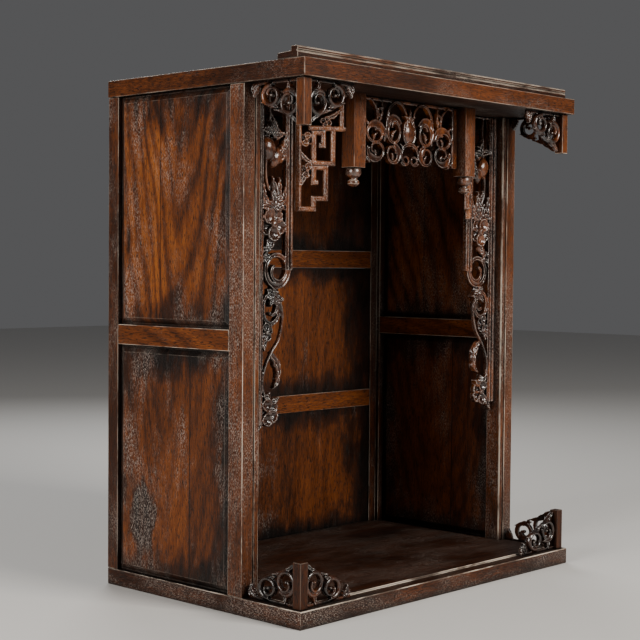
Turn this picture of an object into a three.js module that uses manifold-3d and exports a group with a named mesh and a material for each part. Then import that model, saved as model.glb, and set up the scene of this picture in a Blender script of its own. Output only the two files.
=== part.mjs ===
// A household altar cabinet of dark stained hardwood: an open-fronted case between a base board and
// a roof board, with a porch in front of it whose corners, lintel and doorway carry openwork carving.
// Everything is built from the left side (x), the front edge of the roof (y) and the floor (z), in
// millimetres, and the finished group is moved so that its origin is the middle of its underside.
import * as THREE from 'three';
import { mergeVertices } from 'three/addons/utils/BufferGeometryUtils.js';
import Module from 'manifold-3d';

const wasm = await Module();
wasm.setup();

// Overall sizes
const cabinetWidth = 500;
const cabinetDepth = 322;
const cabinetHeight = 598;
const boardThickness = 19.5;
const roofOverhang = 1.5;
const porchDepth = 91;
const fit = 0.3;

// Floor field raised on the base board
const floorRise = 2;
const floorRim = 17;

// Strip that crowns the roof along its front
const crownInset = 2.5;
const crownSetback = 12.5;
const crownDepth = 30;
const crownHeight = 13;
const crownLipDepth = 10;
const crownBackHeight = 7;
const crownGroove = 1.2;

// Case posts, rails and panels
const frontPostWidth = 26;
const frontPostDepth = 22;
const postBeadWidth = 8;
const postBeadRecess = 1.6;
const wallThickness = 25;
const rearPostDepth = 18;
const backThickness = 12.5;
const backStileWidth = 13;
const sideRailHeight = 23.5;
const sideRailLevel = 268.5;
const backRailHeight = 23.5;
const backRailLevelLow = 166;
const backRailLevelHigh = 360;
const panelRecess = 6;
const panelTongue = 5;
const tongueThickness = 8;
const panelFieldRise = 4;
const panelBevelWidth = 8;
const panelInnerRise = 3;
const backPanelThickness = 8;

// Small square posts at the front corners, hanging from the roof and standing on the base
const cornerPostSide = 11.5;
const cornerPostInset = 6;
const cornerPostLength = 50;
const wingLength = 72;
const wingDrop = 48;
const wingThickness = 6;
const wingRail = 2.9;
const wingStroke = 2.4;

// Square posts that hang from the roof beside the lintel, each with a turned pendant
const hangingPostSide = 19;
const hangingPostSetback = 54;
const hangingPostLength = 84.5;
const pendantLength = 22;
const pendantRadius = 8.8;

// Carved lintel between the hanging posts
const lintelSetback = 64.5;
const lintelThickness = 7;
const lintelHeight = 77;
const lintelRail = 4.5;
const lintelStile = 13;
const lintelBead = 4;

// Carved drops beside the doorway
const dropRecess = 9.5;
const dropThickness = 9;
const dropLength = 387;
const outerStripWidth = 14.5;
const openworkWidth = 35.5;
const innerStripWidth = 12;
const stripReedDepth = 1.5;

// Key-pattern brackets between the drops and the hanging posts
const fretThickness = 6;
const fretHeight = 135;
const fretBar = 5.6;

// Facets of the carving, how far leaves and rails stand in front of the back of the scrolls, and the shortest
// edge and the thinnest triangle that a joint between strokes leaves
const carvingFacet = 9;
const leafReveal = 0.4;
const railReveal = 0.8;
const bevelShare = 0.55;
const shortestEdge = 0.05;
const thinnestFacet = 0.01;
const cleaningPasses = 6;

// Levels and places that follow from these
const baseTop = boardThickness;
const roofUnder = cabinetHeight - boardThickness;
const sideFace = roofOverhang;
const postBase = baseTop + fit;
const postTop = roofUnder - fit;
const frontPostRear = porchDepth + frontPostDepth;
const rearPostFront = cabinetDepth - rearPostDepth;
const backFace = cabinetDepth - backThickness;
const dropLeft = sideFace + frontPostWidth + fit;
const openworkLeft = dropLeft + outerStripWidth;
const innerStripLeft = openworkLeft + openworkWidth;
const dropRight = innerStripLeft + innerStripWidth;
const dropFace = porchDepth + dropRecess;
const innerStripLength = dropLength * 0.52;
const hangingPostInset = cabinetWidth * 0.276;
const carvedTop = roofUnder - fit;

const alongX = new THREE.Vector3(1, 0, 0);
const alongY = new THREE.Vector3(0, 1, 0);
const alongZ = new THREE.Vector3(0, 0, 1);

const darkWood = new THREE.Color(0.105, 0.04, 0.02);
const warmWood = new THREE.Color(0.19, 0.073, 0.028);
const satin = 0.42;

// Turns a geometry's faces outward, whichever way its placing left them.
function facingOut(geometry) {
  const { array } = geometry.attributes.position;
  const index = geometry.index.array;
  const corners = [new THREE.Vector3(), new THREE.Vector3(), new THREE.Vector3()];
  let volume = 0;
  for (let face = 0; face < index.length; face += 3) {
    corners.forEach((corner, n) => corner.fromArray(array, 3 * index[face + n]));
    volume += corners[0].dot(corners[1].clone().cross(corners[2]));
  }
  if (volume < 0) {
    for (let face = 0; face < index.length; face += 3) {
      [index[face], index[face + 1]] = [index[face + 1], index[face]];
    }
  }
  return geometry;
}

function onlyPositions(geometry) {
  const bare = geometry.clone();
  Object.keys(bare.attributes).filter((name) => name !== 'position').forEach((name) => bare.deleteAttribute(name));
  return facingOut(mergeVertices(bare, 1e-4));
}

function solid(geometry) {
  const bare = onlyPositions(geometry);
  return new wasm.Manifold(new wasm.Mesh({
    numProp: 3,
    vertProperties: Float32Array.from(bare.attributes.position.array),
    triVerts: Uint32Array.from(bare.index.array),
  }));
}

// Welds corners that lie closer than the shortest edge, and drops the triangles that this folds flat. The
// second merge, half an edge aside, takes the corners that the first one parts by its rounding.
function welded(geometry) {
  const aside = shortestEdge / 2;
  const once = mergeVertices(geometry, shortestEdge).translate(aside, aside, aside);
  const merged = mergeVertices(once, shortestEdge).translate(-aside, -aside, -aside);
  const index = merged.index.array;
  const faces = new Map();
  for (let face = 0; face < index.length; face += 3) {
    const [a, b, c] = index.slice(face, face + 3);
    const turns = [[a, b, c], [b, c, a], [c, a, b]];
    const backward = turns.map(([p, q, r]) => `${p} ${r} ${q}`).find((key) => faces.has(key));
    if (backward) {
      faces.delete(backward);
    } else if (a !== b && b !== c && c !== a) {
      faces.set(turns[0].join(' '), turns[0]);
    }
  }
  merged.setIndex([...faces.values()].flat());
  return merged;
}

// Turns the long edge of each sliver across to the corner opposite, so that no triangle is thinner than a limit.
function withoutSlivers(geometry) {
  const corners = geometry.attributes.position;
  const point = (n) => new THREE.Vector3().fromBufferAttribute(corners, n);
  const index = Array.from(geometry.index.array);
  const edges = new Map();
  const setFace = (face, a, b, c) => {
    [index[face], index[face + 1], index[face + 2]] = [a, b, c];
    edges.set(`${a} ${b}`, face).set(`${b} ${c}`, face).set(`${c} ${a}`, face);
  };
  for (let face = 0; face < index.length; face += 3) {
    setFace(face, index[face], index[face + 1], index[face + 2]);
  }
  for (let step = 0; step < cleaningPasses * index.length; step += 3) {
    const face = step % index.length;
    const [p, q, r] = index.slice(face, face + 3);
    const turns = [[p, q, r], [q, r, p], [r, p, q]];
    const length = ([from, to]) => point(from).distanceTo(point(to));
    const [a, b, c] = turns.reduce((best, turn) => (length(turn) > length(best) ? turn : best));
    const height = new THREE.Triangle(point(a), point(b), point(c)).getArea() * 2 / length([a, b]);
    const across = edges.get(`${b} ${a}`);
    const d = index.slice(across, across + 3).find((n) => n !== a && n !== b);
    if (height < thinnestFacet && !edges.has(`${c} ${d}`) && !edges.has(`${d} ${c}`)) {
      edges.delete(`${a} ${b}`);
      edges.delete(`${b} ${a}`);
      setFace(face, a, d, c);
      setFace(across, d, b, c);
    }
  }
  geometry.setIndex(index);
  return geometry;
}

function geometryOf(manifold) {
  const mesh = manifold.getMesh();
  const geometry = new THREE.BufferGeometry();
  geometry.setAttribute('position', new THREE.BufferAttribute(Float32Array.from(mesh.vertProperties), 3));
  geometry.setIndex(Array.from(mesh.triVerts));
  return withoutSlivers(welded(geometry));
}

function joined(geometries) {
  const [first, ...others] = geometries.map(solid);
  return geometryOf(others.reduce((whole, piece) => whole.add(piece), first));
}

function cutBy(geometry, tools) {
  return geometryOf(tools.map(solid).reduce((whole, tool) => whole.subtract(tool), solid(geometry)));
}

function placed(geometry, matrix) {
  return facingOut(onlyPositions(geometry).applyMatrix4(matrix));
}

// The same piece on the cabinet's other side.
function mirrored(geometry) {
  const flip = new THREE.Matrix4().makeScale(-1, 1, 1).setPosition(cabinetWidth, 0, 0);
  return placed(geometry, flip);
}

// A plane to carve on: u, v and w run along the three given directions from a corner.
function plane(u, v, w, x, y, z) {
  return new THREE.Matrix4().makeBasis(u, v, w).setPosition(x, y, z);
}

function rectangle(u0, v0, u1, v1) {
  return [[u0, v0], [u1, v0], [u1, v1], [u0, v1]];
}

function block(x0, x1, y0, y1, z0, z1) {
  const geometry = new THREE.BoxGeometry(x1 - x0, y1 - y0, z1 - z0);
  return geometry.translate((x0 + x1) / 2, (y0 + y1) / 2, (z0 + z1) / 2);
}

function prism(outline, z0, z1) {
  const shape = new THREE.Shape(outline.map(([x, y]) => new THREE.Vector2(x, y)));
  const geometry = new THREE.ExtrudeGeometry(shape, { depth: z1 - z0, bevelEnabled: false, curveSegments: 1 });
  return geometry.translate(0, 0, z0);
}

// A block whose far face is narrower all round by the bevel.
function bevelledBlock(width, height, thickness, bevel) {
  const geometry = new THREE.BoxGeometry(width, height, thickness).translate(0, 0, thickness / 2);
  const { array } = geometry.attributes.position;
  for (let n = 0; n < array.length; n += 3) {
    if (array[n + 2] > thickness / 2) {
      array[n] -= Math.sign(array[n]) * bevel;
      array[n + 1] -= Math.sign(array[n + 1]) * bevel;
    }
  }
  return geometry;
}

// A half-round bulge between two points of an outline, as a list of points.
function bulge([x0, y0], [x1, y1], rise, count = 5) {
  const points = [];
  for (let n = 0; n <= count; n++) {
    const angle = Math.PI * n / count;
    const along = (1 - Math.cos(angle)) / 2;
    const out = rise * Math.sin(angle);
    const length = Math.hypot(x1 - x0, y1 - y0);
    points.push([
      x0 + (x1 - x0) * along + out * (y1 - y0) / length,
      y0 + (y1 - y0) * along - out * (x1 - x0) / length,
    ]);
  }
  return points;
}

// Carving. Each stroke lies on a plane, u to one side and v away from the board that carries it, and
// swells and thins along its path; w is its height off the plane.

// A C-scroll or spiral: an ellipse whose radii shrink as it turns.
class Scroll extends THREE.Curve {
  constructor({ at, radii, shrink, start, sweep }) {
    super();
    Object.assign(this, { at, radii, shrink, start, sweep });
  }

  getPoint(share, target = new THREE.Vector3()) {
    const angle = THREE.MathUtils.degToRad(this.start + this.sweep * share);
    const scale = THREE.MathUtils.lerp(1, this.shrink, share ** 3);
    return target.set(
      this.at[0] + this.radii[0] * scale * Math.cos(angle),
      this.at[1] + this.radii[1] * scale * Math.sin(angle),
      0,
    );
  }
}

function throughPoints(points) {
  return new THREE.CatmullRomCurve3(points.map(([u, v]) => new THREE.Vector3(u, v, 0)), false, 'centripetal');
}

const even = () => 1;
const tapering = (share) => 1 - 0.45 * share;
const swelling = (share) => tapering(share) + 0.75 * Math.exp(-(((share - 0.2) / 0.13) ** 2));
const leafShaped = (share) => Math.max(0.12, Math.sin(Math.PI * Math.pow(share, 0.75)));
const podShaped = (share) => Math.max(0.25, Math.sqrt(1 - (2 * share - 1) ** 2));

// Sections of a stroke: across as a share of its half width, and up as a share of its height.
const rounded = [[-1, 0], [-bevelShare, 1], [bevelShare, 1], [1, 0]];
const ridged = [[-1, 0], [0, 1], [1, 0]];

function band(path, halfWidth, height, widthAt = tapering, heightAt = even, section = ridged) {
  const steps = Math.max(3, Math.round(path.getLength() / carvingFacet));
  const positions = [];
  const index = [];
  const sides = section.length;
  for (let step = 0; step <= steps; step++) {
    const share = step / steps;
    const centre = path.getPoint(share);
    const tangent = path.getTangent(share);
    const half = halfWidth * widthAt(share);
    section.forEach(([across, up]) => positions.push(
      centre.x - tangent.y * half * across,
      centre.y + tangent.x * half * across,
      up * height * heightAt(share),
    ));
  }
  for (let step = 0; step < steps; step++) {
    for (let n = 0; n < sides; n++) {
      const a = step * sides + n;
      const b = step * sides + (n + 1) % sides;
      index.push(a, b, a + sides, b, b + sides, a + sides);
    }
  }
  const last = steps * sides;
  for (let n = 1; n < sides - 1; n++) {
    index.push(0, n + 1, n, last, last + n, last + n + 1);
  }
  const geometry = new THREE.BufferGeometry();
  geometry.setAttribute('position', new THREE.Float32BufferAttribute(positions, 3));
  geometry.setIndex(index);
  return facingOut(geometry);
}

function leaf(base, tip, halfWidth, height, bend = 0) {
  const middle = [
    (base[0] + tip[0]) / 2 - (tip[1] - base[1]) * bend,
    (base[1] + tip[1]) / 2 + (tip[0] - base[0]) * bend,
  ];
  return band(throughPoints([base, middle, tip]), halfWidth, height, leafShaped).translate(0, 0, leafReveal);
}

function pod(base, tip, halfWidth, height) {
  return band(throughPoints([base, tip]), halfWidth, height, podShaped, podShaped, rounded);
}

// An open flower seen from the front: lobed rim, dished petals and a boss.
function flower([u, v], radius, height, petals = 5) {
  const perPetal = 2;
  const count = petals * perPetal;
  const rings = [[1, 0], [1, 0.6], [0.35, 1]];
  const positions = [];
  const index = [];
  rings.forEach(([reach, up], ring) => {
    for (let n = 0; n < count; n++) {
      const angle = 2 * Math.PI * n / count;
      const lobe = n % perPetal === 0 || ring === rings.length - 1 ? 1 : 0.78;
      positions.push(u + radius * reach * lobe * Math.cos(angle), v + radius * reach * lobe * Math.sin(angle), up * height);
    }
  });
  for (let ring = 0; ring < rings.length - 1; ring++) {
    for (let n = 0; n < count; n++) {
      const a = ring * count + n;
      const b = ring * count + (n + 1) % count;
      index.push(a, b, a + count, b, b + count, a + count);
    }
  }
  const top = (rings.length - 1) * count;
  for (let n = 1; n < count - 1; n++) {
    index.push(0, n + 1, n, top, top + n, top + n + 1);
  }
  const geometry = new THREE.BufferGeometry();
  geometry.setAttribute('position', new THREE.Float32BufferAttribute(positions, 3));
  geometry.setIndex(index);
  return facingOut(geometry).translate(0, 0, leafReveal);
}

// Boards

function baseBoard() {
  const slab = block(sideFace, cabinetWidth - sideFace, roofOverhang, cabinetDepth, 0, baseTop);
  const porchLeft = sideFace + floorRim;
  const insideLeft = sideFace + frontPostWidth + fit;
  const front = roofOverhang + floorRim;
  const left = [
    [porchLeft, front],
    [porchLeft, porchDepth - fit],
    [insideLeft, porchDepth - fit],
    [insideLeft, rearPostFront - fit],
    [sideFace + wallThickness + backStileWidth + fit, rearPostFront - fit],
    [sideFace + wallThickness + backStileWidth + fit, backFace - fit],
  ];
  const right = left.map(([x, y]) => [cabinetWidth - x, y]).reverse();
  const sunk = floorRise / 2;
  return joined([slab, prism([...left, ...right], baseTop - sunk, baseTop + floorRise)]);
}

function roofBoard() {
  return block(0, cabinetWidth, 0, cabinetDepth, roofUnder, cabinetHeight);
}

// Section of the crowning strip from front to back: a grooved lip, then a low tail.
function crownStrip() {
  const foot = fit;
  const grooveLevel = crownHeight * 0.6;
  const section = [
    [0, foot],
    [crownDepth, foot],
    [crownDepth, crownBackHeight],
    [crownLipDepth, crownBackHeight + 1],
    [crownLipDepth, crownHeight - 1],
    [crownLipDepth - 1, crownHeight],
    [crownGroove, crownHeight],
    [0, crownHeight - crownGroove],
    [0, grooveLevel + crownGroove],
    [crownGroove, grooveLevel],
    [0, grooveLevel - crownGroove],
  ];
  const bar = prism(section, crownInset, cabinetWidth - crownInset);
  return placed(bar, plane(alongY, alongZ, alongX, 0, crownSetback, cabinetHeight));
}

// Case frame

// Front post in plan: a flat face, a groove and a bead beside the doorway, and a groove behind for the panel.
function frontPost() {
  const left = sideFace;
  const right = left + frontPostWidth;
  const beadLeft = right - postBeadWidth;
  const grooveFront = left + panelRecess - fit;
  const grooveBack = left + panelRecess + tongueThickness + fit;
  const grooveEnd = frontPostRear - panelTongue - fit;
  const outline = [
    [left, porchDepth],
    [beadLeft - postBeadRecess, porchDepth],
    [beadLeft, porchDepth + 2 * postBeadRecess],
    ...bulge([beadLeft, porchDepth + postBeadRecess], [right, porchDepth + postBeadRecess], postBeadRecess).slice(1),
    [right, frontPostRear],
    [grooveBack, frontPostRear],
    [grooveBack, grooveEnd],
    [grooveFront, grooveEnd],
    [grooveFront, frontPostRear],
    [left, frontPostRear],
  ];
  return prism(outline, postBase, postTop);
}

// Rear post in plan: the side wall's stile, with a tongue that carries the edge of the back.
function rearPost() {
  const left = sideFace;
  const inner = left + wallThickness;
  const grooveFront = left + panelRecess - fit;
  const grooveBack = left + panelRecess + tongueThickness + fit;
  const grooveEnd = rearPostFront + panelTongue + fit;
  const outline = [
    [left, rearPostFront],
    [grooveFront, rearPostFront],
    [grooveFront, grooveEnd],
    [grooveBack, grooveEnd],
    [grooveBack, rearPostFront],
    [inner, rearPostFront],
    [inner, backFace],
    [inner + backStileWidth, backFace],
    [inner + backStileWidth, cabinetDepth],
    [left, cabinetDepth],
  ];
  return prism(outline, postBase, postTop);
}

function sideRail() {
  const level = baseTop + sideRailLevel;
  const rail = block(sideFace, sideFace + wallThickness, frontPostRear + fit, rearPostFront - fit, level, level + sideRailHeight);
  const front = sideFace + panelRecess - fit;
  const back = sideFace + panelRecess + tongueThickness + fit;
  const grooveDepth = panelTongue + fit;
  const groove = (z0, z1) => block(front, back, frontPostRear, rearPostFront, z0, z1);
  return cutBy(rail, [
    groove(level - 1, level + grooveDepth),
    groove(level + sideRailHeight - grooveDepth, level + sideRailHeight + 1),
  ]);
}

// A side panel between two levels: a thin board let into the frame, with a raised field outside and inside.
// It is let in below, above or both, and where it isn't, it butts against the base or the roof.
function sidePanel(lowLevel, highLevel, tongueBelow, tongueAbove) {
  const front = frontPostRear - panelTongue;
  const rear = rearPostFront + panelTongue;
  const low = lowLevel - (tongueBelow ? panelTongue : 0);
  const high = highLevel + (tongueAbove ? panelTongue : 0);
  const outside = sideFace + panelRecess;
  const inside = outside + tongueThickness;
  const board = block(outside, inside, front, rear, low, high);
  const depth = rearPostFront - frontPostRear;
  const height = highLevel - lowLevel;
  const middle = [(frontPostRear + rearPostFront) / 2, (lowLevel + highLevel) / 2];
  const sunk = 1;
  const field = bevelledBlock(depth - 2 * fit, height - 2 * fit, panelFieldRise + sunk, panelBevelWidth);
  const innerField = bevelledBlock(depth - 2 * fit, height - 2 * fit, panelInnerRise + sunk, panelBevelWidth);
  return joined([
    board,
    placed(field, plane(alongY, alongZ, alongX.clone().negate(), outside + sunk, ...middle)),
    placed(innerField, plane(alongY, alongZ, alongX, inside - sunk, ...middle)),
  ]);
}

function backRail(level) {
  const left = sideFace + wallThickness + backStileWidth + fit;
  return block(left, cabinetWidth - left, backFace, cabinetDepth, baseTop + level, baseTop + level + backRailHeight);
}

function backPanel(lowLevel, highLevel) {
  const left = sideFace + wallThickness + backStileWidth + fit;
  const rear = cabinetDepth - (backThickness - backPanelThickness) / 2;
  return block(left, cabinetWidth - left, rear - backPanelThickness, rear, lowLevel, highLevel);
}

// Porch corners

// Scrollwork of a corner bracket, drawn from the post (u) and away from the board (v). It steps down from the
// post: a ring, a lower C-scroll and two end leaves, with a long leaf along the rim of each scroll.
function wing(length) {
  const at = (a, b) => [a * length, b * wingDrop];
  const scroll = (middle, radii, start, sweep) => {
    const path = new Scroll({ at: at(...middle), radii: at(...radii), shrink: 0.3, start, sweep });
    return band(path, wingStroke, wingThickness);
  };
  const frond = (base, tip, half, rise, bend) => (
    leaf(at(...base), at(...tip), half * wingStroke, rise * wingThickness, bend)
  );
  return joined([
    prism(rectangle(0, 0, length, wingRail), railReveal, wingThickness * 0.7),
    scroll([0.2, 0.5], [0.16, 0.235], -50, -520),
    scroll([0.575, 0.3], [0.16, 0.205], -100, 460),
    frond([0.2, 0.32], [0.2, 0.02], 1.1, 1, 0),
    frond([0.02, 0.98], [0.52, 0.64], 1.05, 0.85, -0.1),
    frond([0.42, 0.6], [0.8, 0.44], 0.95, 0.8, 0),
    frond([0.84, 0.03], [0.93, 0.33], 1.4, 0.9, -0.12),
    frond([0.9, 0.03], [0.99, 0.2], 1.1, 0.75, -0.1),
  ]);
}

const cornerPostRear = cornerPostInset + cornerPostSide;
const frontWingBack = cornerPostInset + (cornerPostSide + wingThickness) / 2;

function cornerPost(z0, z1) {
  return block(cornerPostInset, cornerPostRear, cornerPostInset, cornerPostRear, z0, z1);
}

function frontWing(away, level) {
  const ornament = wing(wingLength);
  return placed(ornament, plane(alongX, away, alongY.clone().negate(), cornerPostRear + fit, frontWingBack, level));
}

function sideWing(away, level) {
  const ornament = wing(porchDepth - cornerPostRear - 2 * fit);
  return placed(ornament, plane(alongY, away, alongX.clone().negate(), frontWingBack, cornerPostRear + fit, level));
}

// Hanging posts and lintel

// Square shaft, then a ball, a neck and a small bead turned below it.
function hangingPost() {
  const half = hangingPostSide / 2;
  const shaft = block(-half, half, -half, half, -hangingPostLength, -fit);
  const sunk = 1;
  const profile = [
    [0, sunk],
    [pendantRadius * 0.62, sunk],
    [pendantRadius * 0.62, -pendantLength * 0.03],
    [pendantRadius * 0.92, -pendantLength * 0.12],
    [pendantRadius, -pendantLength * 0.27],
    [pendantRadius * 0.9, -pendantLength * 0.42],
    [pendantRadius * 0.55, -pendantLength * 0.53],
    [pendantRadius * 0.5, -pendantLength * 0.62],
    [pendantRadius * 0.72, -pendantLength * 0.72],
    [pendantRadius * 0.7, -pendantLength * 0.88],
    [pendantRadius * 0.35, -pendantLength],
    [0, -pendantLength],
  ].reverse().map(([r, y]) => new THREE.Vector2(r, y));
  const turned = new THREE.LatheGeometry(profile, 10).rotateX(Math.PI / 2).translate(0, 0, -hangingPostLength);
  const centre = [hangingPostInset + half, hangingPostSetback + half, roofUnder];
  return joined([shaft, turned]).translate(...centre);
}

const lintelLeft = hangingPostInset + hangingPostSide + fit;
const lintelSpan = cabinetWidth - 2 * lintelLeft;

// Openwork of the lintel: a domed oval over a horseshoe, between rings and scrolls that mirror each other.
function lintel() {
  const thick = lintelThickness;
  const field = thick * 0.75;
  const end = lintelSpan;
  const foot = lintelHeight * 0.98;
  const stroke = lintelSpan * 0.0135;
  const centre = (share) => [end / 2, share * lintelHeight];
  const half = (side) => {
    const at = (a, b) => [(0.5 + side * a) * lintelSpan, b * lintelHeight];
    const scroll = (middle, radii, shrink, start, sweep, width, widthAt = swelling) => {
      const [ru, rv] = radii;
      const reach = [side * ru * lintelSpan, rv * lintelHeight];
      return band(new Scroll({ at: at(...middle), radii: reach, shrink, start, sweep }), width * stroke, thick, widthAt);
    };
    const frond = (base, tip, width, rise, bend) => (
      leaf(at(...base), at(...tip), width * stroke, rise * thick, bend * side)
    );
    return [
      scroll([0.155, 0.477], [0.07, 0.2], 0.35, -150, 480, 1),
      scroll([0.125, 0.345], [0.1, 0.3], 0.95, 15, -215, 0.8, tapering),
      scroll([0.335, 0.548], [0.083, 0.15], 0.35, -190, 470, 0.95),
      scroll([0.331, 0.795], [0.076, 0.14], 0.35, -20, 430, 0.9),
      scroll([0.167, 0.825], [0.06, 0.145], 0.4, -100, -440, 0.85),
      scroll([0, 0.83], [0.083, 0.165], 1, -95, 155, 0.88, tapering),
      scroll([0.048, 0.915], [0.036, 0.07], 0.5, 20, 330, 0.76, tapering),
      scroll([0.29, 0.22], [0.024, 0.06], 0.5, 90, -330, 0.72, tapering),
      frond([0.32, 0.43], [0.39, 0.03], 1.05, 1, -0.2),
      frond([0.3, 0.42], [0.28, 0.03], 0.95, 1, -0.08),
      frond([0.37, 0.44], [0.44, 0.3], 0.95, 0.8, 0.1),
      frond([0.43, 0.9], [0.39, 1], 1.2, 1, 0.1),
      frond([0.008, 0.35], [0.066, 0.235], 1.05, 0.96, -0.2),
    ];
  };
  const stile = (edge, inward) => {
    const inner = edge + inward * lintelStile;
    const bead = inner - inward * lintelBead;
    return [
      prism(rectangle(edge, 0, inner, foot), railReveal, field),
      prism(rectangle(bead, 0, inner, foot), railReveal, thick),
    ];
  };
  const parts = joined([
    prism(rectangle(0, 0, end, lintelRail), railReveal, field),
    ...stile(0, 1),
    ...stile(end, -1),
    pod(centre(0.28), centre(0.69), lintelSpan * 0.068, thick * 1.15),
    leaf(centre(0.34), centre(0.12), stroke * 1.2, thick),
    ...half(-1),
    ...half(1),
  ]);
  return placed(parts, plane(
    alongX, alongZ.clone().negate(), alongY.clone().negate(), lintelLeft, lintelSetback + thick, carvedTop,
  ));
}

// Carved drops beside the doorway

// A reeded strip: two half-round reeds with a groove on each side, in plan.
function reededStrip(left, width, length) {
  const flat = dropThickness - stripReedDepth;
  const reed = width * 0.36;
  const gap = width * 0.1;
  const first = left + width / 2 - reed;
  const second = left + width / 2 + gap / 2;
  const outline = [
    [left, railReveal],
    [left, flat],
    ...bulge([first - gap / 2, flat], [first - gap / 2 + reed, flat], -stripReedDepth, 3),
    ...bulge([second, flat], [second + reed, flat], -stripReedDepth, 3),
    [left + width, flat],
    [left + width, railReveal],
  ];
  return placed(prism(outline, 0, length), plane(alongX, alongZ, alongY, 0, 0, 0));
}

// Flowers, leaves and spirals of a drop, drawn right from the outer strip (u) and down from the roof (v).
function drop() {
  const thick = dropThickness;
  const w = openworkWidth;
  const left = outerStripWidth;
  const right = left + w + innerStripWidth;
  const at = (a, b) => [left + a * w, b * dropLength];
  const frond = (base, tip, half, rise, bend) => leaf(at(...base), at(...tip), half * w, rise * thick, bend);
  const spiral = (middle, radii, start, sweep, half, rise) => (
    band(new Scroll({ at: middle, radii, shrink: 0.3, start, sweep }), half * w, rise * thick)
  );
  const curl = [left + 0.66 * w, innerStripLength];
  const curlRadius = right - innerStripWidth / 2 - curl[0];
  const vine = throughPoints([
    at(0.3, 0), at(0.36, 0.09), at(0.2, 0.2), at(0.21, 0.26), at(0.45, 0.32), at(0.5, 0.38), at(0.25, 0.44), at(0.12, 0.5),
  ]);
  const tail = throughPoints([
    at(0.48, 0.597), at(0.78, 0.615), at(0.88, 0.66), at(0.72, 0.72), at(0.36, 0.762), at(0.08, 0.81), at(0.01, 0.85),
    at(0.17, 0.895),
  ]);
  return joined([
    reededStrip(0, outerStripWidth, dropLength * 0.965),
    reededStrip(left + w, innerStripWidth, innerStripLength + fit),
    prism(rectangle(0, 0, right, wingRail), railReveal, thick * 0.7),
    band(vine, 0.06 * w, thick * 0.6, even),
    frond([0.35, 0.07], [0.92, 0.13], 0.15, 0.9, 0.2),
    frond([0.35, 0.14], [0.03, 0.085], 0.14, 0.85, 0.2),
    frond([0.42, 0.14], [0.62, 0.06], 0.14, 1, -0.1),
    pod(at(0.22, 0.13), at(0.4, 0.203), 0.27 * w, thick * 1.1),
    frond([0.42, 0.21], [0.98, 0.15], 0.17, 0.8, 0.25),
    frond([0.45, 0.34], [0.05, 0.27], 0.16, 0.85, -0.2),
    frond([0.5, 0.335], [0.38, 0.25], 0.17, 0.95, 0.1),
    frond([0.5, 0.335], [0.7, 0.252], 0.17, 1, 0.1),
    frond([0.55, 0.34], [0.98, 0.28], 0.16, 0.85, 0.2),
    flower(at(0.5, 0.382), 0.5 * w, thick * 1.1),
    frond([0.4, 0.41], [0.12, 0.475], 0.17, 0.8, -0.2),
    spiral(curl, [curlRadius, 0.047 * dropLength], -8, 600, 0.1, 0.85),
    frond([0.25, 0.575], [0.98, 0.605], 0.2, 0.9, 0.1),
    frond([0.62, 0.568], [0.87, 0.626], 0.14, 0.78, 0.1),
    spiral(at(0.4, 0.63), [0.38 * w, 0.045 * dropLength], -60, 540, 0.085, 0.8),
    band(tail, 0.055 * w, thick * 0.75, even).translate(0, 0, railReveal),
    flower(at(0.22, 0.7), 0.3 * w, thick * 0.9),
    frond([0.25, 0.71], [0.1, 0.755], 0.15, 0.85, 0.1),
    frond([0.4, 0.755], [0.75, 0.85], 0.16, 0.85, -0.15),
    frond([0.72, 0.81], [0.5, 0.865], 0.12, 0.8, -0.2),
    flower(at(0.33, 0.93), 0.44 * w, thick * 1.05),
    frond([0.15, 0.95], [-0.25, 0.995], 0.14, 0.8, 0.1),
  ]);
}

function carvedDrop() {
  return placed(drop(), plane(
    alongX, alongZ.clone().negate(), alongY.clone().negate(), dropLeft, dropFace + dropThickness, carvedTop,
  ));
}

// Key-pattern brackets

const fretStart = new THREE.Vector2(dropRight + fit, dropFace);
const fretEnd = new THREE.Vector2(hangingPostInset, hangingPostSetback + hangingPostSide);
const fretLength = fretStart.distanceTo(fretEnd);

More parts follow.
